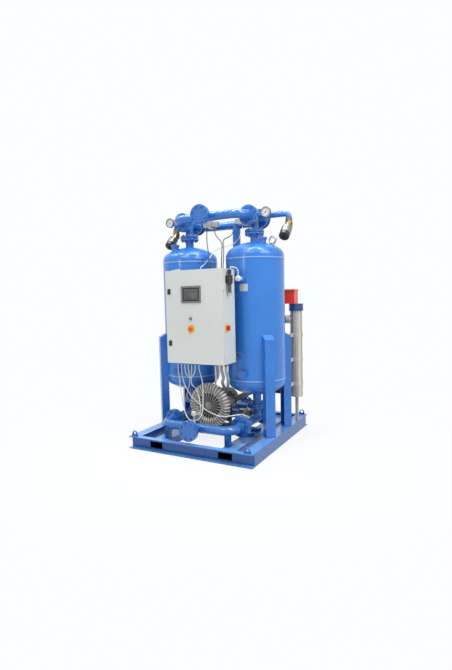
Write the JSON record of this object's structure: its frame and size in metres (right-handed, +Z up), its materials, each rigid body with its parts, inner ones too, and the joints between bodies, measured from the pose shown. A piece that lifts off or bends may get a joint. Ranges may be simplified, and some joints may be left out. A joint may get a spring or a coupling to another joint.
{
  "type": "desiccant air dryer",
  "caption": "Twin-tower desiccant air dryer on a fork-liftable skid, with pipework, switching valves, a control cabinet, a side-channel blower and an electric heater.",
  "frame": {"origin": "on the floor, in the middle of the four anchor holes of the skid", "axes": "+X to the right seen from the front, +Y to the back, +Z up; the cabinet door faces -Y"},
  "size_m": [1.5168, 1.55, 2.43],
  "materials": {
    "blue_paint": "semi-gloss",
    "cabinet_paint": "fine texture",
    "bare_steel": "brushed",
    "cast_alloy": "cast",
    "motor_paint": "semi-gloss",
    "black_plastic": "moulded",
    "white_plastic": "moulded",
    "grey_plastic": "moulded",
    "brass": "cast",
    "red_paint": "gloss",
    "red_plastic": "moulded",
    "yellow_plastic": "moulded",
    "seal": "pressed sheet",
    "bead": "granular"
  },
  "bodies": {
    "frame": {"end_beams": "blue_paint", "side_beams": "blue_paint", "fork_tubes": "blue_paint", "lifting_lugs": "blue_paint", "skid_brackets": "blue_paint", "left_vessel": "blue_paint", "right_vessel": "blue_paint", "vessel_legs": "blue_paint", "desiccant_beds": "bead", "vessel_caps": "blue_paint", "lifting_eyes": "bare_steel", "bottom_header": "blue_paint", "top_header": "blue_paint", "blind_flanges": "blue_paint", "bottom_tees": "blue_paint", "top_tees": "blue_paint", "lower_rear_header": "blue_paint", "upper_rear_header": "blue_paint", "flange_gaskets": "seal", "flange_bolts": "bare_steel", "valve_bodies": "cast_alloy", "valve_actuators": "cast_alloy", "purge_valve_bodies": "brass", "purge_actuators": "bare_steel", "purge_caps": "black_plastic", "gauge_cases": "bare_steel", "cabinet_box": "cabinet_paint", "switch_plate": "yellow_plastic", "control_gear": "grey_plastic", "cable_glands": "black_plastic", "mounting_rails": "bare_steel", "filter_regulator": "black_plastic", "blower_housing": "cast_alloy", "blower_motor": "motor_paint", "blower_pipe": "motor_paint", "heater_shell": "bare_steel", "heater_rods": "bare_steel", "terminal_box": "red_paint", "heater_brackets": "bare_steel", "temperature_sensors": "white_plastic", "signal_cables": "white_plastic", "motor_conduits": "grey_plastic", "valve_cables": "black_plastic"},
    "door": {"cabinet_door": "cabinet_paint", "operator_panel": "black_plastic"},
    "push_button": {"push_button": "red_plastic"},
    "stop_button": {"stop_button": "red_plastic"},
    "upper_lock": {"upper_lock": "black_plastic"},
    "lower_lock": {"lower_lock": "black_plastic"},
    "switch_knob": {"switch_knob": "red_plastic"},
    "regulator_knob": {"regulator_knob": "black_plastic"},
    "blower_rotor": {"blower_rotor": "cast_alloy"},
    "left_exhaust_disc": {"left_exhaust_disc": "bare_steel"},
    "right_exhaust_disc": {"right_exhaust_disc": "bare_steel"},
    "left_regen_disc": {"left_regen_disc": "bare_steel"},
    "right_regen_disc": {"right_regen_disc": "bare_steel"},
    "inlet_shuttle": {"inlet_shuttle": "bare_steel"},
    "outlet_shuttle": {"outlet_shuttle": "bare_steel"},
    "left_gauge_pointer": {"left_gauge_pointer": "black_plastic"},
    "right_gauge_pointer": {"right_gauge_pointer": "black_plastic"}
  },
  "joints": [
    {"name": "door_hinge", "type": "hinge", "parent": "frame", "child": "door", "pos_m": [0.3575, -0.613, 1.334], "axis": [0, 0, 1], "range_deg": [0, 120]},
    {"name": "button_press", "type": "slide", "parent": "door", "child": "push_button", "axis": [0, 1, 0], "range_m": [0, 0.004], "stiffness_N_per_m": 600},
    {"name": "stop_press", "type": "slide", "parent": "door", "child": "stop_button", "axis": [0, 1, 0], "range_m": [0, 0.006]},
    {"name": "upper_lock_turn", "type": "hinge", "parent": "door", "child": "upper_lock", "pos_m": [-0.239, -0.63, 1.582], "axis": [0, 1, 0], "range_deg": [0, 90]},
    {"name": "lower_lock_turn", "type": "hinge", "parent": "door", "child": "lower_lock", "pos_m": [-0.239, -0.63, 1.079], "axis": [0, 1, 0], "range_deg": [0, 90]},
    {"name": "switch_turn", "type": "hinge", "parent": "frame", "child": "switch_knob", "pos_m": [0.355, -0.552, 1.229], "axis": [1, 0, 0], "range_deg": [0, 90]},
    {"name": "regulator_turn", "type": "hinge", "parent": "frame", "child": "regulator_knob", "pos_m": [0.381, -0.534, 1.75], "axis": [0, 0, 1], "range_deg": [-360, 360]},
    {"name": "rotor_spin", "type": "hinge", "parent": "frame", "child": "blower_rotor", "pos_m": [0, -0.3, 0.407], "axis": [0, 1, 0], "continuous": true},
    {"name": "left_exhaust_turn", "type": "hinge", "parent": "frame", "child": "left_exhaust_disc", "pos_m": [-0.394, 0.169, 0.246], "axis": [1, 0, 0], "range_deg": [0, 90]},
    {"name": "left_regen_turn", "type": "hinge", "parent": "frame", "child": "left_regen_disc", "pos_m": [-0.394, 0.169, 2.33], "axis": [1, 0, 0], "range_deg": [0, 90]},
    {"name": "right_exhaust_turn", "type": "hinge", "parent": "frame", "child": "right_exhaust_disc", "pos_m": [0.394, 0.169, 0.246], "axis": [1, 0, 0], "range_deg": [0, 90]},
    {"name": "right_regen_turn", "type": "hinge", "parent": "frame", "child": "right_regen_disc", "pos_m": [0.394, 0.169, 2.33], "axis": [1, 0, 0], "range_deg": [0, 90]},
    {"name": "inlet_shuttle_slide", "type": "slide", "parent": "frame", "child": "inlet_shuttle", "axis": [1, 0, 0], "range_m": [-0.02, 0.02]},
    {"name": "outlet_shuttle_slide", "type": "slide", "parent": "frame", "child": "outlet_shuttle", "axis": [1, 0, 0], "range_m": [-0.02, 0.02]},
    {"name": "left_gauge_turn", "type": "hinge", "parent": "frame", "child": "left_gauge_pointer", "pos_m": [-0.571, -0.105, 2.346], "axis": [0, 1, 0], "range_deg": [0, 270], "stiffness_Nm_per_rad": 0.0005},
    {"name": "right_gauge_turn", "type": "hinge", "parent": "frame", "child": "right_gauge_pointer", "pos_m": [0.571, -0.105, 2.346], "axis": [0, 1, 0], "range_deg": [0, 270], "stiffness_Nm_per_rad": 0.0005}
  ]
}
